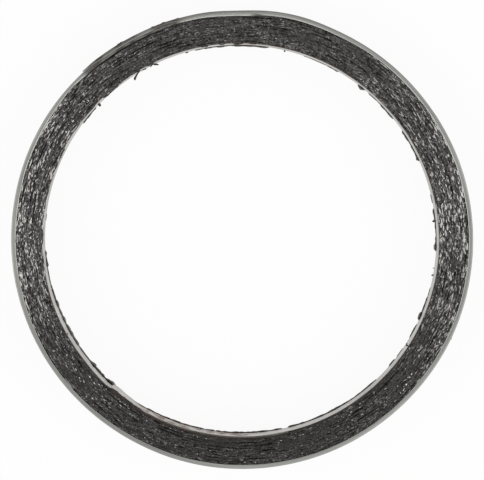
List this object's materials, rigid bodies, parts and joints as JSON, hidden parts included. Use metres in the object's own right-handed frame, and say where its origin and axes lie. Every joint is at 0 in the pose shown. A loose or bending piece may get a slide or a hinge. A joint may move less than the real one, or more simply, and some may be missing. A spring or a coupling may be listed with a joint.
{
  "type": "exhaust gasket ring",
  "caption": "Flat exhaust gasket ring: spiral-wound graphite pressed between a folded steel outer strip and a steel bore strip, both with overlapped ends.",
  "frame": {"origin": "centre of the ring's lower face, on its axis", "axes": "+Z along the ring's axis, up out of the face that the picture shows; +X to the picture's right, +Y to its top"},
  "size_m": [0.0894, 0.0896, 0.008],
  "materials": {
    "outer_steel": "dull rolled steel foil",
    "graphite": "pressed graphite tape with fine metal flecks",
    "bore_steel": "bright rolled steel foil, lightly heat tinted"
  },
  "bodies": {
    "root": {"outer_band": "outer_steel", "graphite_core": "graphite", "inner_band": "bore_steel"}
  },
  "joints": []
}
